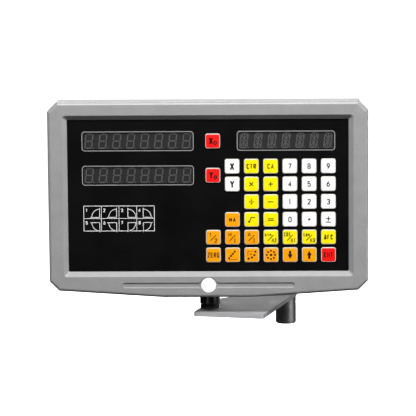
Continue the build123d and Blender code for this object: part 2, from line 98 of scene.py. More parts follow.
class Patchwork:
    """Gathers grids, prisms and ribbons into one mesh, in the row frame.

    Flat outlines are given in x and z; front and back are places along y, and the front is the lower one.
    """

    def __init__(self) -> None:
        """Start with nothing gathered."""
        self.points: list[np.ndarray] = []
        self.faces: list[list[int]] = []
        self.slots: list[int] = []
        self.count = 0

    def gather(self, points: np.ndarray, faces: list[list[int]], slot: int = 0) -> None:
        """Add points and the faces between them.

        Args:
            points: rows of x, y and z.
            faces: corner numbers within points, anticlockwise from outside.
            slot: material slot of these faces.
        """
        self.points.append(points.reshape(-1, 3))
        self.faces += [[corner + self.count for corner in face] for face in faces]
        self.slots += [slot] * len(faces)
        self.count += self.points[-1].shape[0]

    def grid(self, points: np.ndarray, slot: int = 0, wrap: bool = True, caps: bool = False) -> None:
        """Add a surface given as rows of points, each row joined to the next by quads.

        Args:
            points: array of rows by columns by 3.
            slot: material slot.
            wrap: join the last column to the first.
            caps: close the first and last rows with a face each.
        """
        rows, columns = points.shape[:2]
        number = np.arange(rows * columns).reshape(rows, columns)
        after = np.roll(number, -1, axis=1)
        if not wrap:
            number, after = number[:, :-1], after[:, :-1]
        quads = np.stack([number[:-1], after[:-1], after[1:], number[1:]], axis=-1)
        faces = quads.reshape(-1, 4).tolist()
        if caps:
            faces.append(number[0][::-1].tolist())
            faces.append(number[-1].tolist())
        self.gather(points, faces, slot)

    def prism(self, outline: np.ndarray, front: float, back: float, slot: int = 0) -> None:
        """Add a flat piece: an anticlockwise outline in x and z, carried from back to front along y.

        Args:
            outline: rows of x and z.
            front: y of the face that shows.
            back: y of the other face.
            slot: material slot.
        """
        rows = [np.stack([outline[:, 0], np.full(len(outline), y), outline[:, 1]], 1) for y in (back, front)]
        self.grid(np.stack(rows), slot, caps=True)

    def ribbon(
        self, path: np.ndarray, width: float, front: float, back: float, slot: int = 0, closed: bool = False
    ) -> None:
        """Add a line of even width: a rectangle carried along a path in x and z.

        Each station's two edges lie half a width to either side along the mean normal of the runs that
        meet there, lengthened by one over the cosine of half their turn, so that corners are mitred.

        Args:
            path: rows of x and z.
            width: full width of the line.
            front: y of the face that shows.
            back: y of the other face.
            slot: material slot.
            closed: join the end to the start.
        """
        runs = np.roll(path, -1, axis=0) - path
        if not closed:
            runs[-1] = runs[-2]
        runs = runs / np.linalg.norm(runs, axis=1, keepdims=True)
        before = np.roll(runs, 1, axis=0)
        if not closed:
            before[0] = runs[0]
        normal = np.stack([-(runs + before)[:, 1], (runs + before)[:, 0]], 1)
        normal /= np.linalg.norm(normal, axis=1, keepdims=True)
        square = np.stack([-runs[:, 1], runs[:, 0]], 1)
        reach = np.clip(np.sum(normal * square, axis=1, keepdims=True), 0.5, 1)
        left = path + normal * width / 2 / reach
        right = path - normal * width / 2 / reach
        loop = [(left, front), (right, front), (right, back), (left, back)]
        sides = [np.stack([edge[:, 0], np.full(len(path), y), edge[:, 1]], 1) for edge, y in loop]
        points = np.stack(sides, axis=1)
        if closed:
            points = np.concatenate([points, points[:1]])
        self.grid(points, slot, caps=not closed)

    def pad(self, outline: np.ndarray, back: float, edge: float, dome: float, slot: int = 0) -> None:
        """Add a softly crowned pad over an outline in x and z.

        Ring by ring, the outline shrinks by a factor t from 1 to nothing, and the height above back is
        edge plus dome times (1 - t to the fourth). A wall of height edge closes the rim.

        Args:
            outline: rows of x and z about the origin of the pad, already in place.
            back: y of the pad's back.
            edge: height of the wall.
            dome: extra height of the middle.
            slot: material slot.
        """
        middle = outline.mean(axis=0)
        shrink = np.array([1.0, 1.0, 0.985, 0.93, 0.8, 0.6, 0.35, 0.1])
        height = edge + dome * (1 - shrink**4)
        height[0] = 0.0
        height[1] = 0.6 * edge
        rings = middle + (outline - middle)[None] * shrink[:, None, None]
        depth = np.broadcast_to((back - height)[:, None], rings.shape[:2])
        self.grid(np.stack([rings[..., 0], depth, rings[..., 1]], axis=-1), slot, caps=True)

    def lathe(
        self, profile: np.ndarray, centre: np.ndarray, axis: int, slot: int = 0, steps: int = 48
    ) -> None:
        """Add a turned surface: a profile of radius and height swept round one axis.

        A point is the centre plus its height along the axis and its radius times the cosine and sine of
        the angle along the next two axes in order.

        Args:
            profile: rows of radius and height, from low to high.
            centre: x, y and z of the foot of the axis.
            axis: 0, 1 or 2 for x, y or z.
            slot: material slot.
            steps: straight pieces round the axis.
        """
        angle = np.linspace(0, 2 * math.pi, steps, endpoint=False)
        points = np.zeros((len(profile), steps, 3))
        points[..., axis] = profile[:, 1:2]
        points[..., (axis + 1) % 3] = profile[:, :1] * np.cos(angle)
        points[..., (axis + 2) % 3] = profile[:, :1] * np.sin(angle)
        self.grid(points + centre, slot, caps=True)

    def build(self, name: str, finishes: list[bpy.types.Material], smooth: bool = False) -> bpy.types.Object:
        """Make the mesh object.

        Args:
            name: the piece's name.
            finishes: materials in slot order.
            smooth: shade smooth, with edges sharp over 40 degrees.

        Returns:
            The new object, at the origin.
        """
        mesh = bpy.data.meshes.new(name)
        mesh.from_pydata(np.concatenate(self.points).tolist(), [], self.faces)
        for finish in finishes:
            mesh.materials.append(finish)
        mesh.polygons.foreach_set("material_index", self.slots)
        mesh.update()
        if smooth:
            mesh.shade_smooth()
            mesh.set_sharp_from_angle(angle=math.radians(40))
        piece = bpy.data.objects.new(name, mesh)
        bpy.context.scene.collection.objects.link(piece)
        return piece


# --------------------------------------------------------------------------------------------------- shading


class Signal:
    """A shader socket that adds a Math node wherever it meets an operator."""

    def __init__(self, shader: Shader, socket: bpy.types.NodeSocket) -> None:
        """Wrap one output socket of a shader's tree."""
        self.shader = shader
        self.socket = socket

    def maths(self, operation: str, other: Signal | float) -> Signal:
        """Add one Math node that takes this value and another, and return its result."""
        node = self.shader.add("ShaderNodeMath", {"operation": operation}, {0: self, 1: other})
        return Signal(self.shader, node.outputs[0])

    def __add__(self, other: Signal | float) -> Signal:
        """Sum."""
        return self.maths("ADD", other)

    def __mul__(self, other: Signal | float) -> Signal:
        """Product."""
        return self.maths("MULTIPLY", other)

    def within(self, low: float, high: float) -> Signal:
        """The value mapped smoothly from low..high to 0..1, held at both ends."""
        node = self.shader.add(
            "ShaderNodeMapRange",
            {"interpolation_type": "SMOOTHSTEP"},
            {"Value": self, "From Min": low, "From Max": high},
        )
        return Signal(self.shader, node.outputs["Result"])

    __radd__ = __add__
    __rmul__ = __mul__


class NodeTree:
    """The node tree of a material or a world, filled node by node."""

    def __init__(self, holder: bpy.types.Material | bpy.types.World) -> None:
        """Empty the holder's tree."""
        holder.use_nodes = True
        self.tree = holder.node_tree
        self.tree.nodes.clear()

    def add(self, kind: str, settings: dict | None = None, sockets: dict | None = None) -> bpy.types.Node:
        """Add a node, its settings first, then the values or links of its sockets.

        Args:
            kind: the node's type name.
            settings: property names and values.
            sockets: input names or numbers, each with a number, a colour, a socket or a Signal.

        Returns:
            The node.
        """
        node = self.tree.nodes.new(kind)
        for key, value in (settings or {}).items():
            setattr(node, key, value)
        for key, value in (sockets or {}).items():
            source = value.socket if isinstance(value, Signal) else value
            if isinstance(source, bpy.types.NodeSocket):
                self.tree.links.new(source, node.inputs[key])
            else:
                node.inputs[key].default_value = source
        return node


class Shader(NodeTree):
    """One material's tree: a Principled shader, its output, and whatever feeds it."""

    def __init__(self, name: str) -> None:
        """Make a material of that name with a plain Principled shader."""
        self.material = bpy.data.materials.new(name)
        super().__init__(self.material)
        output = self.add("ShaderNodeOutputMaterial")
        self.body = self.add("ShaderNodeBsdfPrincipled")
        self.tree.links.new(self.body.outputs["BSDF"], output.inputs["Surface"])
        self.place = self.add("ShaderNodeTexCoord").outputs["Object"]

    def noise(self, size: float, stretch: tuple = (1, 1, 1), detail: float = 3.0) -> Signal:
        """Cloudy noise on the piece.

        Args:
            size: feature size in metres.
            stretch: how much longer the features are along x, y and z.
            detail: octaves of finer noise.

        Returns:
            Values around one half.
        """
        scale = tuple(1 / (size * each) for each in stretch)
        spread = self.add("ShaderNodeMapping", {}, {"Vector": self.place, "Scale": scale})
        node = self.add(
            "ShaderNodeTexNoise", {}, {"Vector": spread.outputs[0], "Scale": 1.0, "Detail": detail}
        )
        return Signal(self, node.outputs["Fac"])

    def mix(self, factor: Signal, first: tuple | Signal, second: tuple | Signal) -> Signal:
        """A colour between two others."""
        node = self.add("ShaderNodeMix", {"data_type": "RGBA"}, {"Factor": factor, 6: first, 7: second})
        return Signal(self, node.outputs[2])

    def relief(self, height: Signal, depth: float, strength: float = 1.0) -> None:
        """Feed a height into the normal.

        Args:
            height: 0 to 1.
            depth: metres that a height of 1 stands for.
            strength: share of the effect.
        """
        bump = self.add("ShaderNodeBump", {}, {"Height": height, "Distance": depth, "Strength": strength})
        self.tree.links.new(bump.outputs[0], self.body.inputs["Normal"])

    def feed(self, **sockets: float | tuple | Signal) -> None:
        """Set or link the Principled shader's inputs, named with underscores for spaces."""
        for key, value in sockets.items():
            socket = self.body.inputs[key.replace("_", " ")]
            if isinstance(value, Signal):
                self.tree.links.new(value.socket, socket)
            else:
                socket.default_value = value


def tint(colour: tuple, factor: float) -> tuple:
    """A linear colour made lighter or darker, with an alpha of 1."""
    return (*(min(1.0, part * factor) for part in colour), 1.0)


@dataclass(frozen=True)
class PowderCoat:
    """Fine-grained paint baked on a casting, a little uneven, as the bezel and cover wear it."""

    name: str
    colour: tuple
    grain: float = 0.45 * MM
    roughness: float = 0.42

    def make(self) -> bpy.types.Material:
        """Build the material."""
        shader = Shader(self.name)
        grain = shader.noise(self.grain, detail=4.0)
        cloud = shader.noise(14 * MM, detail=2.0)
        shade = (grain * 0.7 + cloud * 0.3).within(0.33, 0.67)
        shader.feed(
            Base_Color=shader.mix(shade, tint(self.colour, 0.9), tint(self.colour, 1.1)),
            Roughness=grain * 0.22 + (self.roughness - 0.11),
            Metallic=0.1,
            Specular_IOR_Level=0.4,
        )
        shader.relief(grain, 0.06 * MM, 0.8)
        return shader.material


@dataclass(frozen=True)
class FaceFilm:
    """The satin printed film of the face, black with a faint tooth."""

    name: str
    colour: tuple
    roughness: float = 0.3

    def make(self) -> bpy.types.Material:
        """Build the material."""
        shader = Shader(self.name)
        tooth = shader.noise(0.22 * MM, detail=2.0)
        cloud = shader.noise(30 * MM, detail=2.0)
        shader.feed(
            Base_Color=shader.mix(cloud.within(0.3, 0.7), tint(self.colour, 0.8), tint(self.colour, 1.25)),
            Roughness=tooth * 0.12 + (self.roughness - 0.06),
            Specular_IOR_Level=0.18,
        )
        shader.relief(tooth, 0.012 * MM, 0.6)
        return shader.material


@dataclass(frozen=True)
class SmokedPane:
    """Smoked acrylic over a display: dark, clear enough to show the segments, polished."""

    name: str
    colour: tuple
    alpha: float = 0.45

    def make(self) -> bpy.types.Material:
        """Build the material."""
        shader = Shader(self.name)
        haze = shader.noise(6 * MM, detail=3.0)
        shader.feed(
            Base_Color=tint(self.colour, 1.0),
            Roughness=haze * 0.08 + 0.05,
            Alpha=self.alpha,
            IOR=1.49,
        )
        return shader.material


@dataclass(frozen=True)
class Moulding:
    """Moulded plastic with a fine spark-eroded skin."""

    name: str
    colour: tuple
    roughness: float = 0.4
    grain: float = 0.3 * MM
    depth: float = 0.03 * MM
    coat: float = 0.0

    def make(self) -> bpy.types.Material:
        """Build the material."""
        shader = Shader(self.name)
        skin = shader.noise(self.grain, detail=3.0)
        cloud = shader.noise(5 * MM, detail=2.0)
        shader.feed(
            Base_Color=shader.mix(cloud.within(0.3, 0.7), tint(self.colour, 0.93), tint(self.colour, 1.06)),
            Roughness=skin * 0.14 + (self.roughness - 0.07),
            Coat_Weight=self.coat,
            Coat_Roughness=0.12,
        )
        shader.relief(skin, self.depth, 0.7)
        return shader.material


@dataclass(frozen=True)
class Ink:
    """Screen-printed ink: nearly even, with the faint mottle of the mesh it was pulled through."""

    name: str
    colour: tuple
    roughness: float = 0.5

    def make(self) -> bpy.types.Material:
        """Build the material."""
        shader = Shader(self.name)
        mottle = shader.noise(0.35 * MM, detail=2.0)
        shader.feed(
            Base_Color=shader.mix(mottle.within(0.3, 0.7), tint(self.colour, 0.9), tint(self.colour, 1.05)),
            Roughness=mottle * 0.1 + (self.roughness - 0.05),
            Specular_IOR_Level=0.2,
        )
        shader.relief(mottle, 0.008 * MM, 0.5)
        return shader.material


@dataclass(frozen=True)
class Turned:
    """Bare steel with the marks of the tool that cut it, drawn out round or along the piece."""

    name: str
    colour: tuple
    roughness: float = 0.3
    stretch: tuple = (30, 30, 1)
    line: float = 0.25 * MM

    def make(self) -> bpy.types.Material:
        """Build the material."""
        shader = Shader(self.name)
        marks = shader.noise(self.line, stretch=self.stretch, detail=3.0)
        stain = shader.noise(7 * MM, detail=3.0)
        shader.feed(
            Base_Color=shader.mix(stain.within(0.35, 0.75), tint(self.colour, 1.0), tint(self.colour, 0.72)),
            Roughness=marks * 0.2 + stain * 0.12 + (self.roughness - 0.16),
            Metallic=1.0,
        )
        shader.relief(marks, 0.02 * MM, 0.7)
        return shader.material


@dataclass(frozen=True)
class Enamel:
    """Sprayed enamel on steel: slight orange peel, a few dull rubbed patches."""

    name: str
    colour: tuple
    roughness: float = 0.35

    def make(self) -> bpy.types.Material:
        """Build the material."""
        shader = Shader(self.name)
        peel = shader.noise(1.4 * MM, detail=1.5)
        cloud = shader.noise(22 * MM, detail=3.0)
        rub = shader.noise(9 * MM, stretch=(1, 4, 1), detail=4.0).within(0.55, 0.8)
        shader.feed(
            Base_Color=shader.mix(cloud.within(0.3, 0.7), tint(self.colour, 0.9), tint(self.colour, 1.1)),
            Roughness=peel * 0.08 + rub * 0.22 + (self.roughness - 0.06),
        )
        shader.relief(peel, 0.05 * MM, 0.5)
        return shader.material


@dataclass(frozen=True)
class BoardMask:
    """Green solder mask over copper tracks that run as fine stripes."""

    name: str
    colour: tuple

    def make(self) -> bpy.types.Material:
        """Build the material."""
        shader = Shader(self.name)
        tracks = shader.noise(1.2 * MM, stretch=(1, 1, 14), detail=1.0).within(0.48, 0.54)
        shader.feed(
            Base_Color=shader.mix(tracks, tint(self.colour, 0.7), tint(self.colour, 1.7)),
            Roughness=tracks * 0.15 + 0.3,
        )
        shader.relief(tracks, 0.04 * MM, 0.6)
        return shader.material


class Paint(Enum):
    """Every finish on the console, by the name of what wears it."""

    BEZEL = PowderCoat("bezel_coat", (0.30, 0.30, 0.303))
    COVER = PowderCoat("cover_coat", (0.27, 0.27, 0.273), grain=0.7 * MM, roughness=0.5)
    FACE = FaceFilm("face_film", (0.0032, 0.0032, 0.0034))
    PANE = SmokedPane("smoked_pane", (0.012, 0.012, 0.013))
    REFLECTOR = Moulding("display_body", (0.05, 0.05, 0.051), roughness=0.55)
    SEGMENT = Moulding("segment_frosted", (0.23, 0.23, 0.23), roughness=0.5)
    FRAME_INK = Ink("window_line_ink", (0.27, 0.27, 0.275))
    WHITE_INK = Ink("white_ink", (0.8, 0.8, 0.8))
    LEGEND_INK = Ink("legend_ink", (0.005, 0.0045, 0.0045))
    KEY_RIM = Moulding("key_rim", (0.62, 0.60, 0.55), roughness=0.35, depth=0.01 * MM)
    KEY_WHITE = Moulding("key_white_film", (0.93, 0.93, 0.93), roughness=0.32, depth=0.006 * MM, coat=0.3)
    KEY_YELLOW = Moulding("key_yellow_film", (0.95, 0.78, 0.0), roughness=0.3, depth=0.006 * MM, coat=0.3)
    KEY_ORANGE = Moulding("key_orange_film", (0.97, 0.35, 0.0), roughness=0.3, depth=0.006 * MM, coat=0.3)
    KEY_RED = Moulding("key_red_film", (0.85, 0.008, 0.006), roughness=0.3, depth=0.006 * MM, coat=0.3)
    BADGE = Moulding("badge_enamel", (0.95, 0.95, 0.95), roughness=0.28, depth=0.006 * MM, coat=0.5)
    KNOB = Moulding("knob_phenolic", (0.008, 0.008, 0.008), roughness=0.28, coat=0.3)
    CONNECTOR = Moulding("connector_nylon", (0.016, 0.016, 0.017), roughness=0.45)
    ROCKER = Moulding("rocker_gloss", (0.02, 0.02, 0.02), roughness=0.2, depth=0.01 * MM, coat=0.4)
    SWITCH = Moulding("switch_body", (0.03, 0.03, 0.032))
    GASKET = Moulding("gasket_foam", (0.02, 0.02, 0.02), roughness=0.85, grain=0.5 * MM, depth=0.1 * MM)
    BOARD = BoardMask("board_mask", (0.01, 0.09, 0.035))
    ARM = Enamel("arm_enamel", (0.40, 0.40, 0.41))
    BRACKET = Enamel("bracket_enamel", (0.012, 0.012, 0.012), roughness=0.4)
    POST = Turned("post_steel", (0.40, 0.40, 0.41), roughness=0.5)
    NUT = Turned("nut_zinc", (0.62, 0.63, 0.64), roughness=0.34, stretch=(3, 3, 3), line=0.6 * MM)
    SCREW = Turned("screw_zinc", (0.58, 0.59, 0.6), roughness=0.3, stretch=(2, 2, 2), line=0.5 * MM)
    BLACK_SCREW = Turned("screw_oxide", (0.05, 0.05, 0.052), roughness=0.42, stretch=(2, 2, 2))
    SHELL = Turned("connector_tin", (0.66, 0.66, 0.63), roughness=0.3, stretch=(8, 1, 1))


class Palette:
    """Makes each finish once, when it is first asked for."""

    def __init__(self) -> None:
        """Start with nothing made."""
        self.made: dict[Paint, bpy.types.Material] = {}

    def __getitem__(self, paint: Paint) -> bpy.types.Material:
        """The material of that finish."""
        if paint not in self.made:
            self.made[paint] = paint.value.make()
        return self.made[paint]


PALETTE = Palette()


def wear(node: str, paint: Paint) -> None:
    """Give a CAD node its finish in every slot."""
    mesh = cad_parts[node].data
    if not mesh.materials:
        mesh.materials.append(None)
    for index in range(len(mesh.materials)):
        mesh.materials[index] = PALETTE[paint]


def wear_all(finishes: dict[str, Paint]) -> None:
    """Give several CAD nodes their finishes."""
    for node, paint in finishes.items():
        wear(node, paint)
        LOG.info("%s dressed", node)


# ------------------------------------------------------------------------------------------------- lettering


GLYPH_WIDTH = 4
LETTER_SPACING = 0.75
GLYPH_LOOP = ((1, 0), (3, 0), (4, 1), (4, 5), (3, 6), (1, 6), (0, 5), (0, 1), (1, 0))

# The strokes of each letter or digit on a grid four wide and six high.
GLYPHS: dict[str, tuple] = {
    "0": (GLYPH_LOOP,),
    "1": (((0.8, 4.8), (2, 6), (2, 0)),),
    "2": (((0, 4.9), (1, 6), (3, 6), (4, 5), (4, 3.9), (0, 0), (4, 0)),),
    "3": (
        ((0, 5), (1, 6), (3, 6), (4, 5), (4, 4), (3, 3.1), (4, 2.1), (4, 1), (3, 0), (1, 0), (0, 1)),
        ((1.4, 3.1), (3, 3.1)),
    ),
    "4": (((3, 0), (3, 6), (0, 1.8), (4, 1.8)),),
    "5": (((3.8, 6), (0.4, 6), (0, 3.2), (1, 3.7), (3, 3.7), (4, 2.7), (4, 1), (3, 0), (1, 0), (0, 1)),),
    "6": (
        (
            *((3.4, 6), (1.4, 5), (0, 2.8), (0, 1), (1, 0), (3, 0)),
            *((4, 1), (4, 2.5), (3, 3.4), (1, 3.4), (0, 2.4)),
        ),
    ),
    "7": (((0, 6), (4, 6), (1.5, 0)),),
    "8": (
        ((1, 3.1), (0.2, 4), (0.2, 5.2), (1, 6), (3, 6), (3.8, 5.2), (3.8, 4), (3, 3.1), (1, 3.1)),
        ((1, 3.1), (0, 2.2), (0, 0.9), (1, 0), (3, 0), (4, 0.9), (4, 2.2), (3, 3.1)),
    ),
    "9": (
        (
            *((0.6, 0), (2.6, 1), (4, 3.2), (4, 5), (3, 6), (1, 6)),
            *((0, 5), (0, 3.5), (1, 2.6), (3, 2.6), (4, 3.6)),
        ),
    ),
    "A": (((0, 0), (2, 6), (4, 0)), ((0.7, 2), (3.3, 2))),
    "C": (((4, 5), (3, 6), (1, 6), (0, 5), (0, 1), (1, 0), (3, 0), (4, 1)),),
    "E": (((4, 6), (0, 6), (0, 0), (4, 0)), ((0, 3), (3.4, 3))),
    "H": (((0, 0), (0, 6)), ((4, 0), (4, 6)), ((0, 3), (4, 3))),
    "I": (((2, 0), (2, 6)), ((1.2, 0), (2.8, 0)), ((1.2, 6), (2.8, 6))),
    "M": (((0, 0), (0, 6), (2, 2), (4, 6), (4, 0)),),
    "N": (((0, 0), (0, 6), (4, 0), (4, 6)),),
    "O": (GLYPH_LOOP,),
    "R": (((0, 0), (0, 6), (3, 6), (4, 5), (4, 4), (3, 3), (0, 3)), ((2, 3), (4, 0))),
    "T": (((0, 6), (4, 6)), ((2, 6), (2, 0))),
    "X": (((0, 0), (4, 6)), ((0, 6), (4, 0))),
    "Y": (((0, 6), (2, 3), (4, 6)), ((2, 3), (2, 0))),
    "Z": (((0, 6), (4, 6), (0, 0), (4, 0)),),
    "a": (
        ((0.3, 3.6), (1, 4), (3, 4), (4, 3), (4, 0)),
        ((4, 2.3), (1, 2.3), (0, 1.2), (0.8, 0), (3, 0), (4, 0.8)),
    ),
    "c": (((4, 3.2), (3, 4), (1, 4), (0, 3), (0, 1), (1, 0), (3, 0), (4, 0.8)),),
    "i": (((2, 0), (2, 4)), ((2, 5.2), (2, 6))),
    "n": (((0, 0), (0, 4)), ((0, 3), (1, 4), (3, 4), (4, 3), (4, 0))),
    "o": (((1, 0), (3, 0), (4, 1), (4, 3), (3, 4), (1, 4), (0, 3), (0, 1), (1, 0)),),
    "r": (((0, 0), (0, 4)), ((0, 3), (1, 4), (3.4, 4))),
    "s": (((4, 3.5), (3, 4), (1, 4), (0, 3.1), (1, 2.2), (3, 1.9), (4, 0.9), (3, 0), (1, 0), (0, 0.5)),),
    "t": (((1.6, 6), (1.6, 1), (2.4, 0), (3.6, 0)), ((0, 4), (3.6, 4))),
}


@dataclass(frozen=True)
class Word:
    """Lettering drawn in strokes, about a place in millimetres from the middle of what carries it."""

    text: str
    height: float
    x: float = 0.0
    z: float = 0.0
    width: float = 2.8
    stroke: float = 0.75

    def draw(self, work: Patchwork, x: float, z: float, front: float, slot: int) -> None:
        """Add the lettering to a patchwork.

        Args:
            work: where it goes.
            x: middle of the carrier.
            z: middle of the carrier.
            front: y of the surface it is printed on.
            slot: material slot.
        """
        strokes = [GLYPHS[letter] for letter in self.text]
        tall = max(point[1] for glyph in strokes for path in glyph for point in path)
        scale = np.array([(self.width - self.stroke) / GLYPH_WIDTH, (self.height - self.stroke) / tall]) * MM
        step = (self.width + self.stroke * LETTER_SPACING) * MM
        for number, glyph in enumerate(strokes):
            middle = np.array([x + self.x * MM + (number - (len(strokes) - 1) / 2) * step, z + self.z * MM])
            for path in glyph:
                points = (np.array(path, float) - (GLYPH_WIDTH / 2, tall / 2)) * scale + middle
                closed = path[0] == path[-1]
                points = points[:-1] if closed else points
                work.ribbon(points, self.stroke * MM, front - PRINT_RISE / 2, front, slot, closed)


@dataclass(frozen=True)
class Line:
    """A printed line through points in millimetres."""

    points: tuple
    width: float = 0.7

    def draw(self, work: Patchwork, x: float, z: float, front: float, slot: int) -> None:
        """Add the line to a patchwork, as Word.draw does."""
        path = np.array(self.points, float) * MM + (x, z)
        work.ribbon(path, self.width * MM, front - PRINT_RISE / 2, front, slot)


@dataclass(frozen=True)
class Dot:
    """A printed round spot."""

    x: float
    z: float
    radius: float

    def draw(self, work: Patchwork, x: float, z: float, front: float, slot: int) -> None:
        """Add the spot to a patchwork, as Word.draw does."""
        outline = disc_outline(self.radius * MM, 14) + (x + self.x * MM, z + self.z * MM)
        work.prism(outline, front - PRINT_RISE / 2, front, slot)


@dataclass(frozen=True)
class Shape:
    """A printed solid outline in millimetres, anticlockwise."""

    points: tuple

    def draw(self, work: Patchwork, x: float, z: float, front: float, slot: int) -> None:
        """Add the outline to a patchwork, as Word.draw does."""
        work.prism(np.array(self.points, float) * MM + (x, z), front - PRINT_RISE / 2, front, slot)


def slashed(upper: str, lower: str, upper_x: float, lower_x: float, width: float = 2.3) -> tuple:
    """Two short words either side of a slanting stroke."""
    return (
        Word(upper, 3.7, upper_x, 2.6, width, 0.66),
        Line(((-2.8, -3.2), (2.5, 2.1)), 0.75),
        Word(lower, 3.8, lower_x, -2.9, width * 1.15, 0.72),
    )


def arrow(up: bool) -> tuple:
    """A solid arrow, up or down."""
    points = ((-1.05, 3.9), (-1.05, 0.5), (-2.3, 0.5), (0.0, -3.9), (2.3, 0.5), (1.05, 0.5), (1.05, 3.9))
    if up:
        points = tuple((-x, -z) for x, z in points)
    return (Shape(points),)


def ring_of_holes(count: int, circle: float, radius: float) -> tuple:
    """Spots evenly round a circle, and one in its middle."""
    turn = 2 * math.pi / count
    spots = (Dot(circle * math.cos(turn * n), circle * math.sin(turn * n), radius) for n in range(count))
    return (*spots, Dot(0, 0, radius * 1.25))


def row_of_holes(count: int, start: tuple, end: tuple, radius: float) -> tuple:
    """Spots evenly along a slanting line."""
    places = np.linspace(start, end, count)
    return tuple(Dot(float(x), float(z), radius) for x, z in places)


def arc_of_holes(count: int, radius: float) -> tuple:
    """Spots along a quarter arc about the upper left of the key, with the arc's two edges."""
    corner, reach = 3.6, 1.2
    places = arc_points(7.0, -85, -5, count - 1) + (-corner, corner)
    spots = tuple(Dot(float(x), float(z), radius) for x, z in places)
    down = Line(((-corner, corner), (-corner, -reach)), 0.4)
    across = Line(((-corner, corner), (reach, corner)), 0.4)
    return (*spots, down, across, Dot(-0.7, 0.7, 0.75))


LEGENDS: dict[str, tuple] = {
    "key_x_clear": (Word("X", 7.0, -1.6, 0.3, 4.0, 1.5), Word("0", 3.5, 2.3, -1.7, 3.1, 1.0)),
    "key_y_clear": (Word("Y", 7.0, -1.6, 0.3, 4.0, 1.5), Word("0", 3.5, 2.3, -1.7, 3.1, 1.0)),
    "key_x": (Word("X", 7.6, width=4.4, stroke=1.5),),
    "key_y": (Word("Y", 7.6, width=4.4, stroke=1.5),),
    "key_ctr": (Word("CTR", 4.8, width=2.5, stroke=0.9),),
    "key_ca": (Word("CA", 4.8, width=2.6, stroke=0.9),),
    "key_multiply": (Line(((-1.8, -1.8), (1.8, 1.8)), 0.85), Line(((-1.8, 1.8), (1.8, -1.8)), 0.85)),
    "key_add": (Line(((-2.1, 0), (2.1, 0)), 0.85), Line(((0, -2.1), (0, 2.1)), 0.85)),
    "key_divide": (Line(((-2.4, 0), (2.4, 0)), 0.8), Dot(0, 1.7, 0.75), Dot(0, -1.7, 0.75)),
    "key_subtract": (Line(((-2.4, 0), (2.4, 0)), 0.85),),
    "key_root": (Line(((-2.6, -1.6), (-2.0, -2.4), (-0.4, 2.0), (3.3, 2.1)), 0.8), Dot(-2.3, -2.0, 1.0)),
    "key_equals": (Line(((-2.6, 0.8), (2.6, 0.8)), 0.75), Line(((-2.6, -0.8), (2.6, -0.8)), 0.75)),
    "key_point": (Dot(0, 0, 1.05),),
    "key_sign": (
        Line(((-2.2, 0.6), (2.2, 0.6)), 0.85),
        Line(((0, -1.7), (0, 2.8)), 0.85),
        Line(((-2.4, -2.6), (2.4, -2.6)), 0.85),
    ),
    "key_ha": (Word("HA", 4.4, width=2.7, stroke=1.05),),
    "key_half": slashed("1", "2", -2.5, 2.3, 2.6),
    "key_units": slashed("M", "I", -2.3, 2.2, 3.0),
    "key_mode": slashed("A", "I", -2.3, 2.2, 3.0),
    "key_sine": slashed("sin", "N2", -2.6, 3.0, 1.7),
    "key_cosine": slashed("cos", "N1", -2.6, 3.0, 1.7),
    "key_tangent": slashed("tan", "N3", -2.6, 3.0, 1.7),
    "key_arc": (Word("arc", 4.6, width=2.2, stroke=1.0),),
    "key_zero": (Word("ZERO", 4.8, width=2.3, stroke=0.78),),
    "key_slant_holes": (
        *row_of_holes(4, (-3.3, -2.9), (2.0, 3.2), 0.95),
        Line(((-3.5, -2.9), (1.9, 3.2)), 0.3),
        Line(((-3.4, -4.2), (4.2, -4.2)), 0.35),
    ),
    "key_curve": arc_of_holes(4, 1.05),
    "key_bolt_circle": ring_of_holes(8, 3.9, 0.95),
    "key_down": arrow(False),
    "key_up": arrow(True),
    "key_enter": (Word("ENT", 4.8, width=2.5, stroke=0.8),),
    **{f"key_{digit}": (Word(str(digit), 5.3, width=3.2, stroke=0.95),) for digit in range(10)},
}

KEY_PAINT: dict[Paint, str] = {
    Paint.KEY_RED: "x_clear y_clear enter",
    Paint.KEY_ORANGE: "ha half units mode zero slant_holes curve bolt_circle down up",
    Paint.KEY_YELLOW: "ctr ca multiply add divide subtract root equals sine cosine tangent arc",
}


def key_paint(name: str) -> Paint:
    """The film colour of a key: white unless its name is among the coloured ones."""
    for paint, names in KEY_PAINT.items():
        if name.removeprefix("key_") in names.split():
            return paint
    return Paint.KEY_WHITE


# --------------------------------------------------------------------------------------------- sub-assemblies


@dataclass
class Keypad:
    """The coloured film and printed legend on every key."""

    film_size: float = 12.5 * MM
    film_corner: float = 1.5 * MM
    film_edge: float = 0.08 * MM
    film_dome: float = 0.12 * MM

    def dress(self) -> None:
        """Give every key its rim colour, and build its film."""
        for name in sorted(LEGENDS):
            wear(name, Paint.KEY_RIM)
            self.film(name)

    def film(self, name: str) -> None:
        """Build one key's film and legend.

        Args:
            name: the key's node, which is also its body.
        """
        low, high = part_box(name)
        x, z = (low.x + high.x) / 2, (low.z + high.z) / 2
        work = Patchwork()
        outline = rounded_outline(self.film_size, self.film_size, self.film_corner) + (x, z)
        work.pad(outline, low.y, self.film_edge, self.film_dome)
        top = low.y - self.film_edge - self.film_dome
        for mark in LEGENDS[name]:
            mark.draw(work, x, z, top, 1)
        finishes = [PALETTE[key_paint(name)], PALETTE[Paint.LEGEND_INK]]
        piece = work.build(name + "_film", finishes, smooth=True)
        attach(piece, name)
        LOG.info("%s_film", name)


class DigitKind(Enum):
    """The two kinds of segment character."""

    SEVEN = 7
    STAR = 14


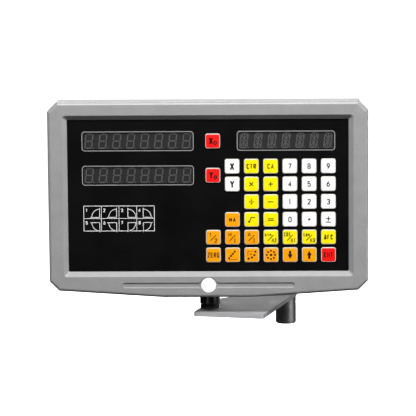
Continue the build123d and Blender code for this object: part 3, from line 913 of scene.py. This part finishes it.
@dataclass
class SegmentRow:
    """One display's frosted segments on their dark reflector, behind a window."""

    name: str
    middle_x: float
    middle_z: float
    front: float
    count: int
    kind: DigitKind
    body_width: float
    body_height: float
    pitch: float = 13.0 * MM
    height: float = 14.2 * MM
    width: float = 7.6 * MM
    stroke: float = 1.15 * MM
    gap: float = 0.22 * MM
    slant: float = 7.0
    inner_share: float = 0.8
    corner_share: float = 0.7
    point_share: float = 0.9
    plate: float = 0.1 * MM
    body_corner: float = 0.6 * MM

    def lean(self, points: np.ndarray) -> np.ndarray:
        """Points moved sideways by their height times the tangent of the slant."""
        shifted = points.copy()
        shifted[:, 0] += points[:, 1] * math.tan(math.radians(self.slant))
        return shifted

    def bar(self, start: tuple, end: tuple, width: float) -> np.ndarray:
        """A segment: a bar with pointed ends, shortened by the gap.

        Args:
            start: x and z of one end.
            end: x and z of the other.
            width: full width of the bar.

        Returns:
            Its six corners, anticlockwise.
        """
        first, last = np.array(start), np.array(end)
        along = (last - first) / np.linalg.norm(last - first)
        across = np.array([-along[1], along[0]]) * width / 2
        first = first + along * self.gap
        last = last - along * self.gap
        inset = along * width / 2
        near, far = first + inset, last - inset
        return np.array([first, near - across, far - across, last, far + across, near + across])

    def bars(self) -> list[np.ndarray]:
        """The outlines of one character's segments, about its middle."""
        x, z = self.width / 2 - self.stroke / 2, self.height / 2 - self.stroke / 2
        lines = [
            ((-x, z), (x, z)),
            ((-x, -z), (x, -z)),
            ((-x, 0), (-x, z)),
            ((x, 0), (x, z)),
            ((-x, -z), (-x, 0)),
            ((x, -z), (x, 0)),
        ]
        if self.kind is DigitKind.SEVEN:
            lines.append(((-x, 0), (x, 0)))
            return [self.bar(start, end, self.stroke) for start, end in lines]
        thin = self.stroke * self.inner_share
        inner = [((-x, 0), (0, 0)), ((0, 0), (x, 0)), ((0, 0), (0, z)), ((0, -z), (0, 0))]
        corner_x, corner_z = x - self.stroke * self.corner_share, z - self.stroke * self.corner_share
        inner += [((0, 0), (side * corner_x, up * corner_z)) for side in (-1, 1) for up in (-1, 1)]
        outer = [self.bar(start, end, self.stroke) for start, end in lines]
        return outer + [self.bar(start, end, thin) for start, end in inner]

    def build(self) -> None:
        """Build the reflector and its segments as one piece."""
        work = Patchwork()
        body = rounded_outline(self.body_width, self.body_height, self.body_corner, 3)
        work.prism(body + (self.middle_x, self.middle_z), self.front - self.plate, self.front, 0)
        face = self.front - self.plate
        shapes = self.bars()
        for number in range(self.count):
            x = self.middle_x + (number - (self.count - 1) / 2) * self.pitch
            for outline in shapes:
                place = self.lean(outline) + (x, self.middle_z)
                work.prism(place, face - self.plate / 2, face, 1)
            dot = disc_outline(self.stroke / 2, 10)
            foot = (self.width / 2 + self.stroke * self.point_share, (self.stroke - self.height) / 2)
            work.prism(self.lean(dot + foot) + (x, self.middle_z), face - self.plate / 2, face, 1)
        piece = work.build(self.name, [PALETTE[Paint.REFLECTOR], PALETTE[Paint.SEGMENT]])
        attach(piece, "console")
        LOG.info(self.name)


@dataclass
class Face:
    """The face: windows with their printed lines, displays, and the printed quadrant chart."""

    window_border: float = 2.2 * MM
    window_corner: float = 2.6 * MM
    line_width: float = 0.75 * MM
    line_inset: float = 0.45 * MM
    display_height: float = 15.0 * MM
    chart_width: float = 66.0 * MM
    chart_height: float = 23.6 * MM
    chart_left: float = 17.5 * MM
    chart_rise: float = 41.2 * MM
    chart_line: float = 0.52 * MM
    chart_fine: float = 0.55 * MM
    chart_arc: float = 7.4 * MM
    crossing_shares: tuple = (0.9, 0.86, 0.5, 0.37)
    upper_crossing: float = 1.0 * MM
    lower_crossing: float = 3.9 * MM
    inner_share: float = 0.85
    arc_stretch: float = 1.05
    cross_reach: float = 1.2
    number_height: float = 3.2
    number_width: float = 2.0
    number_stroke: float = 0.62
    number_right: float = 2.7 * MM
    number_down: float = 4.1 * MM
    panel: tuple = field(init=False)
    modules: tuple = field(init=False)
    message: tuple = field(init=False)

    def __post_init__(self) -> None:
        """Read the places that the frame gives."""
        self.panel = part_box("face_panel")
        self.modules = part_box("axis_displays")
        self.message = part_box("message_display")

    def windows(self) -> list[tuple]:
        """The name, middle, width and kind of each window's display."""
        low, high = self.modules
        x, width = (low.x + high.x) / 2, high.x - low.x
        half = self.display_height / 2
        note_low, note_high = self.message
        note_x, note_z = (note_low.x + note_high.x) / 2, (note_low.z + note_high.z) / 2
        return [
            ("x_segments", x, high.z - half, width, 8, DigitKind.SEVEN),
            ("y_segments", x, low.z + half, width, 8, DigitKind.SEVEN),
            ("message_segments", note_x, note_z, note_high.x - note_low.x, 7, DigitKind.STAR),
        ]

    def dress(self) -> None:
        """Build everything on the face, and give its nodes their finishes."""
        finishes = {
            "face_panel": Paint.FACE,
            "display_windows": Paint.PANE,
            "axis_displays": Paint.REFLECTOR,
            "message_display": Paint.REFLECTOR,
            "main_board": Paint.BOARD,
            "key_switches": Paint.SWITCH,
        }
        wear_all(finishes)
        lines = Patchwork()
        surface = self.panel[0].y
        for name, x, z, width, count, kind in self.windows():
            SegmentRow(name, x, z, self.modules[0].y, count, kind, width, self.display_height).build()
            outer_width = width + 2 * (self.window_border - self.line_inset) - self.line_width
            outer_height = self.display_height + 2 * (self.window_border - self.line_inset) - self.line_width
            path = rounded_outline(outer_width, outer_height, self.window_corner) + (x, z)
            lines.ribbon(path, self.line_width, surface - PRINT_RISE / 2, surface, closed=True)
        piece = lines.build("window_lines", [PALETTE[Paint.FRAME_INK]])
        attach(piece, "console")
        LOG.info("window_lines")
        self.chart(surface)

    def chart(self, surface: float) -> None:
        """Print the chart of eight numbered quadrants.

        Each cell holds a cross of two fine lines and a quarter circle about where they meet.

        Args:
            surface: y of the panel's front.
        """
        work = Patchwork()
        left = self.panel[0].x + self.chart_left
        top = self.panel[0].z + self.chart_rise + self.chart_height
        front = surface - PRINT_RISE / 2
        cell_x, cell_z = self.chart_width / 4, self.chart_height / 2
        frame_path = rounded_outline(self.chart_width, self.chart_height, 0.2 * MM, 1)
        middle = np.array([left + self.chart_width / 2, top - cell_z])
        work.ribbon(frame_path + middle, self.chart_line, front, surface, closed=True)
        for column in range(1, 4):
            x = left + column * cell_x
            down = np.array([[x, top], [x, top - 2 * cell_z]])
            work.ribbon(down, self.chart_line * self.inner_share, front, surface)
        middle_line = np.array([[left, top - cell_z], [left + self.chart_width, top - cell_z]])
        work.ribbon(middle_line, self.chart_line * self.inner_share, front, surface)
        for number in range(8):
            row, column = divmod(number, 4)
            self.quadrant(work, row, column, left + column * cell_x, top - row * cell_z, front, surface)
            name = str(number + 1)
            mark = Word(name, self.number_height, width=self.number_width, stroke=self.number_stroke)
            number_x = left + column * cell_x + self.number_right
            mark.draw(work, number_x, top - row * cell_z - self.number_down, surface, 0)
        piece = work.build("quadrant_chart", [PALETTE[Paint.WHITE_INK]])
        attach(piece, "console")
        LOG.info("quadrant_chart")

    def quadrant(
        self, work: Patchwork, row: int, column: int, left: float, top: float, front: float, back: float
    ) -> None:
        """One cell's cross and quarter circle.

        Args:
            work: where they go.
            row: 0 above, 1 below.
            column: 0 to 3.
            left: x of the cell's left side.
            top: z of its top.
            front: y of the ink's face.
            back: y of the panel.
        """
        side = -1 if column < 2 else 1
        up = 1 if row == 0 else -1
        x = left + self.crossing_shares[column] * self.chart_width / 4
        z = top - (self.chart_height / 2 - self.upper_crossing if row == 0 else self.lower_crossing)
        start = 90 if up > 0 else -90
        arc = arc_points(self.chart_arc, start, 90 - side * 90 if up > 0 else -90 + side * 90)
        arc[:, 1] *= self.arc_stretch
        work.ribbon(arc + (x, z), self.chart_line, front, back)
        reach = self.chart_arc * self.cross_reach
        work.ribbon(np.array([[x, z], [x, z + up * reach]]), self.chart_fine, front, back)
        work.ribbon(np.array([[x, z], [x + side * reach, z]]), self.chart_fine, front, back)


@dataclass
class Housing:
    """The castings, the badge, and what is bolted or set into the cover's back."""

    socket_inset: float = 15.5 * MM
    flange_depth: float = 6.0 * MM
    contact_radius: float = 0.55 * MM
    contact_pitch: float = 2.75 * MM
    contact_row: float = 1.42 * MM
    contact_sunk: float = 0.4 * MM
    contact_height: float = 0.46 * MM
    jack_radius: float = 2.4 * MM
    jack_height: float = 4.5 * MM
    jack_offset: float = 12.2 * MM
    jack_shoulder: float = 0.9
    jack_chamfer: float = 0.86
    jack_bore: float = 0.5
    jack_floor: float = 0.4

    def dress(self) -> None:
        """Give the castings and fittings their finishes, and build the small fittings."""
        finishes = {
            "front_bezel": Paint.BEZEL,
            "badge_disc": Paint.BADGE,
            "rear_cover": Paint.COVER,
            "cover_gasket": Paint.GASKET,
            "cover_screws": Paint.SCREW,
            "power_supply": Paint.BOARD,
            "power_inlet": Paint.CONNECTOR,
            "power_switch": Paint.ROCKER,
            "scale_sockets": Paint.SHELL,
        }
        wear_all(finishes)
        self.sockets()

    def sockets(self) -> None:
        """Contacts in the scale sockets' faces, and the jack nuts beside them."""
        low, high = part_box("scale_sockets")
        z = (low.z + high.z) / 2
        work = Patchwork()
        radius, height = self.jack_radius, self.jack_height
        contact = np.array([[self.contact_radius, 0], [self.contact_radius, self.contact_height]])
        jack = np.array(
            [
                [radius, 0],
                [radius, height * self.jack_shoulder],
                [radius * self.jack_chamfer, height],
                [radius * self.jack_bore, height],
                [radius * self.jack_bore, height * self.jack_floor],
            ]
        )
        for x in (low.x + self.socket_inset, high.x - self.socket_inset):
            for row, count in ((1, 5), (-1, 4)):
                for number in range(count):
                    along = x + (number - (count - 1) / 2) * self.contact_pitch
                    foot = (along, high.y - self.contact_sunk, z + row * self.contact_row)
                    work.lathe(contact, np.array(foot), axis=1, steps=12)
            for side in (-1, 1):
                foot = (x + side * self.jack_offset, high.y - self.flange_depth, z)
                work.lathe(jack, np.array(foot), axis=1, slot=1, steps=6)
        piece = work.build("scale_socket_contacts", [PALETTE[Paint.CONNECTOR], PALETTE[Paint.SCREW]])
        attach(piece, "console")
        LOG.info("scale_socket_contacts")


@dataclass
class Mounting:
    """The arm, its post and nut, the tilt bracket and the clamp knob."""

    def dress(self) -> None:
        """Give each piece its finish."""
        finishes = {
            "arm_plate": Paint.ARM,
            "pivot_post": Paint.POST,
            "pivot_nut": Paint.NUT,
            "tilt_bracket": Paint.BRACKET,
            "tilt_screws": Paint.BLACK_SCREW,
            "clamp_knob": Paint.KNOB,
        }
        wear_all(finishes)


@dataclass(frozen=True)
class SoftBox:
    """A soft box, placed about the aim by its bearing from the front and its height angle."""

    name: str
    bearing: float
    rise: float
    distance: float
    width: float
    height: float
    power: float

    def stand(self, aim: np.ndarray) -> None:
        """Add the light, facing the aim.

        Args:
            aim: what it points at.
        """
        light = bpy.data.lights.new(self.name, "AREA")
        light.shape = "RECTANGLE"
        light.size, light.size_y = self.width, self.height
        light.energy = self.power
        holder = bpy.data.objects.new(self.name, light)
        offset = around(self.bearing, self.rise, self.distance)
        holder.location = aim + offset
        holder.rotation_euler = facing(offset)
        holder.visible_camera = False
        bpy.context.scene.collection.objects.link(holder)


def around(bearing: float, rise: float, distance: float) -> np.ndarray:
    """A place about the aim: the front turned by bearing to the right and lifted by rise, in degrees."""
    turn, lift = math.radians(bearing), math.radians(rise)
    level = math.cos(lift)
    return distance * np.array([math.sin(turn) * level, -math.cos(turn) * level, math.sin(lift)])


def facing(offset: np.ndarray) -> tuple:
    """The rotation that turns a lamp or camera at offset from its aim back towards it."""
    flat = math.hypot(offset[0], offset[1])
    return (math.atan2(flat, offset[2]), 0.0, math.atan2(offset[0], -offset[1]))


@dataclass
class Studio:
    """White sweep, soft boxes and the camera."""

    distance: float = 2.6
    elevation: float = 8.0
    azimuth: float = 1.6
    roll: float = -0.45
    view_width: float = 387.3 * MM
    aim_height: float = 84.6 * MM
    sensor: float = 36.0
    nearest: float = 0.01
    farthest: float = 200.0
    floor_drop: float = 0.12
    floor_size: float = 60.0
    floor_glow: float = 0.9
    sky_low: float = -0.2
    sky_high: float = 0.8
    sky_dim: float = 0.012
    sky_bright: float = 0.24
    backdrop: float = 1.05
    boxes: tuple = (
        SoftBox("key_box", 3, 50, 1.5, 1.1, 0.5, 38.0),
        SoftBox("rim_box", 178, 38, 1.4, 1.2, 0.4, 10.5),
        SoftBox("right_box", 70, 4, 1.2, 0.5, 0.9, 4.6),
        SoftBox("back_box", 160, -1, 1.6, 0.7, 0.25, 8.0),
        SoftBox("front_fill", -14, 26, 2.2, 1.6, 0.8, 3.0),
    )

    def build(self) -> None:
        """Set up the whole studio."""
        low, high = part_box("front_bezel")
        aim = np.array([(low.x + high.x) / 2, low.y, low.z + self.aim_height])
        self.camera(aim)
        for box in self.boxes:
            box.stand(aim)
        self.floor()
        self.world()

    def camera(self, aim: np.ndarray) -> None:
        """Add the camera and make it the scene's."""
        lens = bpy.data.cameras.new("camera")
        lens.sensor_width = self.sensor
        lens.lens = self.sensor * self.distance / self.view_width
        lens.clip_start = self.nearest
        lens.clip_end = self.farthest
        offset = around(self.azimuth, self.elevation, self.distance)
        holder = bpy.data.objects.new("camera", lens)
        holder.location = aim + offset
        holder.rotation_euler = facing(offset)
        holder.rotation_euler.rotate_axis("Z", math.radians(self.roll))
        bpy.context.scene.collection.objects.link(holder)
        bpy.context.scene.camera = holder

    def floor(self) -> None:
        """Lay the white floor under the post."""
        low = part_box("pivot_post")[0]
        half = self.floor_size / 2
        work = Patchwork()
        level = low.z - self.floor_drop
        corners = [[[x, y, level] for x in (-half, half)] for y in (-half, half)]
        work.grid(np.array(corners), wrap=False)
        shader = Shader("floor_white")
        shader.feed(
            Base_Color=(0.9, 0.9, 0.9, 1),
            Roughness=0.9,
            Emission_Color=(1, 1, 1, 1),
            Emission_Strength=self.floor_glow,
        )
        floor = work.build("floor", [shader.material])
        floor.visible_diffuse = False
        floor.visible_glossy = False

    def world(self) -> None:
        """A white world to the eye that lights the console dimly, and from below hardly at all."""
        world = bpy.data.worlds.new("studio")
        sky = NodeTree(world)
        place = sky.add("ShaderNodeTexCoord").outputs["Generated"]
        rise = sky.add("ShaderNodeSeparateXYZ", {}, {0: place}).outputs["Z"]
        spread = {"Value": rise, "From Min": self.sky_low, "From Max": self.sky_high}
        light = {"To Min": self.sky_dim, "To Max": self.sky_bright}
        ramp = sky.add("ShaderNodeMapRange", {}, {**spread, **light}).outputs["Result"]
        seen = sky.add("ShaderNodeLightPath").outputs["Is Camera Ray"]
        level = sky.add("ShaderNodeMix", {}, {0: seen, 2: ramp, 3: self.backdrop})
        back = sky.add("ShaderNodeBackground", {}, {"Color": (1, 1, 1, 1), "Strength": level.outputs[0]})
        sky.add("ShaderNodeOutputWorld", {}, {0: back.outputs[0]})
        bpy.context.scene.world = world
        bpy.context.scene.view_settings.view_transform = "Standard"


def main() -> None:
    """Build the console's looks, then the studio."""
    logging.basicConfig(level=logging.INFO, format="%(name)s: %(message)s")
    for assembly in (Housing(), Face(), Keypad(), Mounting()):
        assembly.dress()
        LOG.info("%s done", type(assembly).__name__)
    Studio().build()


if __name__ == "__main__":
    main()
